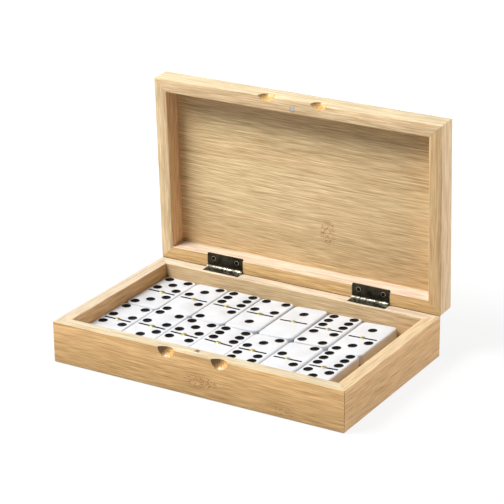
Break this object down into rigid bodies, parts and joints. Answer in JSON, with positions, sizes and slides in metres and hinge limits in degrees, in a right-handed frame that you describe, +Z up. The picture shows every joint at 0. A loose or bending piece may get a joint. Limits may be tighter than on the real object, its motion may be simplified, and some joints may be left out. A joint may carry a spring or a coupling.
{
  "type": "domino storage box",
  "caption": "Shallow mitred bamboo box with a hinged lid standing open on two small butt hinges, its tray holding two layers of flat white domino tiles.",
  "frame": {"origin": "middle of the tray's flat underside", "axes": "+X along the long side to the right, the hinges at +Y and the open front at -Y, +Z up"},
  "size_m": [0.175, 0.12, 0.131],
  "materials": {
    "bamboo_board": "satin lacquered bamboo boards",
    "bamboo_panel": "satin lacquered bamboo panel",
    "magnet": "nickel plated",
    "hinge_bronze": "antique bronze",
    "hinge_pin": "antique bronze, worn bright",
    "hinge_screw": "antique bronze",
    "tile_resin": "polished white urea resin"
  },
  "bodies": {
    "tray": {"base_front_rail": "bamboo_board", "base_back_rail": "bamboo_board", "base_left_rail": "bamboo_board", "base_right_rail": "bamboo_board", "base_panel": "bamboo_panel", "base_magnet": "magnet", "left_hinge_base_leaf": "hinge_bronze", "right_hinge_base_leaf": "hinge_bronze", "left_hinge_pin": "hinge_pin", "right_hinge_pin": "hinge_pin", "base_hinge_screws": "hinge_screw"},
    "lid": {"lid_front_rail": "bamboo_board", "lid_back_rail": "bamboo_board", "lid_left_rail": "bamboo_board", "lid_right_rail": "bamboo_board", "lid_panel": "bamboo_panel", "lid_magnet": "magnet", "left_hinge_lid_leaf": "hinge_bronze", "right_hinge_lid_leaf": "hinge_bronze", "lid_hinge_screws": "hinge_screw"},
    "tile_0_0": {"tile_0_0": "tile_resin"},
    "tile_5_3": {"tile_5_3": "tile_resin"},
    "tile_2_0": {"tile_2_0": "tile_resin"},
    "tile_3_2": {"tile_3_2": "tile_resin"},
    "tile_3_0": {"tile_3_0": "tile_resin"},
    "tile_6_2": {"tile_6_2": "tile_resin"},
    "tile_4_0": {"tile_4_0": "tile_resin"},
    "tile_4_1": {"tile_4_1": "tile_resin"},
    "tile_5_0": {"tile_5_0": "tile_resin"},
    "tile_1_0": {"tile_1_0": "tile_resin"},
    "tile_1_1": {"tile_1_1": "tile_resin"},
    "tile_6_4": {"tile_6_4": "tile_resin"},
    "tile_2_1": {"tile_2_1": "tile_resin"},
    "tile_1_3": {"tile_1_3": "tile_resin"},
    "tile_5_1": {"tile_5_1": "tile_resin"},
    "tile_4_4": {"tile_4_4": "tile_resin"},
    "tile_6_1": {"tile_6_1": "tile_resin"},
    "tile_4_3": {"tile_4_3": "tile_resin"},
    "tile_4_2": {"tile_4_2": "tile_resin"},
    "tile_5_4": {"tile_5_4": "tile_resin"},
    "tile_5_2": {"tile_5_2": "tile_resin"},
    "tile_6_0": {"tile_6_0": "tile_resin"},
    "tile_3_3": {"tile_3_3": "tile_resin"},
    "tile_3_6": {"tile_3_6": "tile_resin"},
    "tile_5_5": {"tile_5_5": "tile_resin"},
    "tile_2_2": {"tile_2_2": "tile_resin"},
    "tile_6_6": {"tile_6_6": "tile_resin"},
    "tile_6_5": {"tile_6_5": "tile_resin"}
  },
  "joints": [
    {"name": "lid_hinge", "type": "hinge", "parent": "tray", "child": "lid", "pos_m": [0, 0.0535, 0.0236], "axis": [-1, 0, 0], "range_deg": [-87.7, 0]},
    {"name": "lift_0_0", "type": "slide", "parent": "tray", "child": "tile_0_0", "axis": [0, 0, 1], "range_m": [0, 0.03]},
    {"name": "lift_5_3", "type": "slide", "parent": "tile_0_0", "child": "tile_5_3", "axis": [0, 0, 1], "range_m": [0, 0.03]},
    {"name": "lift_2_0", "type": "slide", "parent": "tray", "child": "tile_2_0", "axis": [0, 0, 1], "range_m": [0, 0.03]},
    {"name": "lift_3_2", "type": "slide", "parent": "tile_2_0", "child": "tile_3_2", "axis": [0, 0, 1], "range_m": [0, 0.03]},
    {"name": "lift_3_0", "type": "slide", "parent": "tray", "child": "tile_3_0", "axis": [0, 0, 1], "range_m": [0, 0.03]},
    {"name": "lift_6_2", "type": "slide", "parent": "tile_3_0", "child": "tile_6_2", "axis": [0, 0, 1], "range_m": [0, 0.03]},
    {"name": "lift_4_0", "type": "slide", "parent": "tray", "child": "tile_4_0", "axis": [0, 0, 1], "range_m": [0, 0.03]},
    {"name": "lift_4_1", "type": "slide", "parent": "tile_4_0", "child": "tile_4_1", "axis": [0, 0, 1], "range_m": [0, 0.03]},
    {"name": "lift_5_0", "type": "slide", "parent": "tray", "child": "tile_5_0", "axis": [0, 0, 1], "range_m": [0, 0.03]},
    {"name": "lift_1_0", "type": "slide", "parent": "tile_5_0", "child": "tile_1_0", "axis": [0, 0, 1], "range_m": [0, 0.03]},
    {"name": "lift_1_1", "type": "slide", "parent": "tray", "child": "tile_1_1", "axis": [0, 0, 1], "range_m": [0, 0.03]},
    {"name": "lift_6_4", "type": "slide", "parent": "tile_1_1", "child": "tile_6_4", "axis": [0, 0, 1], "range_m": [0, 0.03]},
    {"name": "lift_2_1", "type": "slide", "parent": "tray", "child": "tile_2_1", "axis": [0, 0, 1], "range_m": [0, 0.03]},
    {"name": "lift_1_3", "type": "slide", "parent": "tile_2_1", "child": "tile_1_3", "axis": [0, 0, 1], "range_m": [0, 0.03]},
    {"name": "lift_5_1", "type": "slide", "parent": "tray", "child": "tile_5_1", "axis": [0, 0, 1], "range_m": [0, 0.03]},
    {"name": "lift_4_4", "type": "slide", "parent": "tile_5_1", "child": "tile_4_4", "axis": [0, 0, 1], "range_m": [0, 0.03]},
    {"name": "lift_6_1", "type": "slide", "parent": "tray", "child": "tile_6_1", "axis": [0, 0, 1], "range_m": [0, 0.03]},
    {"name": "lift_4_3", "type": "slide", "parent": "tile_6_1", "child": "tile_4_3", "axis": [0, 0, 1], "range_m": [0, 0.03]},
    {"name": "lift_4_2", "type": "slide", "parent": "tray", "child": "tile_4_2", "axis": [0, 0, 1], "range_m": [0, 0.03]},
    {"name": "lift_5_4", "type": "slide", "parent": "tile_4_2", "child": "tile_5_4", "axis": [0, 0, 1], "range_m": [0, 0.03]},
    {"name": "lift_5_2", "type": "slide", "parent": "tray", "child": "tile_5_2", "axis": [0, 0, 1], "range_m": [0, 0.03]},
    {"name": "lift_6_0", "type": "slide", "parent": "tile_5_2", "child": "tile_6_0", "axis": [0, 0, 1], "range_m": [0, 0.03]},
    {"name": "lift_3_3", "type": "slide", "parent": "tray", "child": "tile_3_3", "axis": [0, 0, 1], "range_m": [0, 0.03]},
    {"name": "lift_3_6", "type": "slide", "parent": "tile_3_3", "child": "tile_3_6", "axis": [0, 0, 1], "range_m": [0, 0.03]},
    {"name": "lift_5_5", "type": "slide", "parent": "tray", "child": "tile_5_5", "axis": [0, 0, 1], "range_m": [0, 0.03]},
    {"name": "lift_2_2", "type": "slide", "parent": "tile_5_5", "child": "tile_2_2", "axis": [0, 0, 1], "range_m": [0, 0.03]},
    {"name": "lift_6_6", "type": "slide", "parent": "tray", "child": "tile_6_6", "axis": [0, 0, 1], "range_m": [0, 0.03]},
    {"name": "lift_6_5", "type": "slide", "parent": "tile_6_6", "child": "tile_6_5", "axis": [0, 0, 1], "range_m": [0, 0.03]}
  ]
}
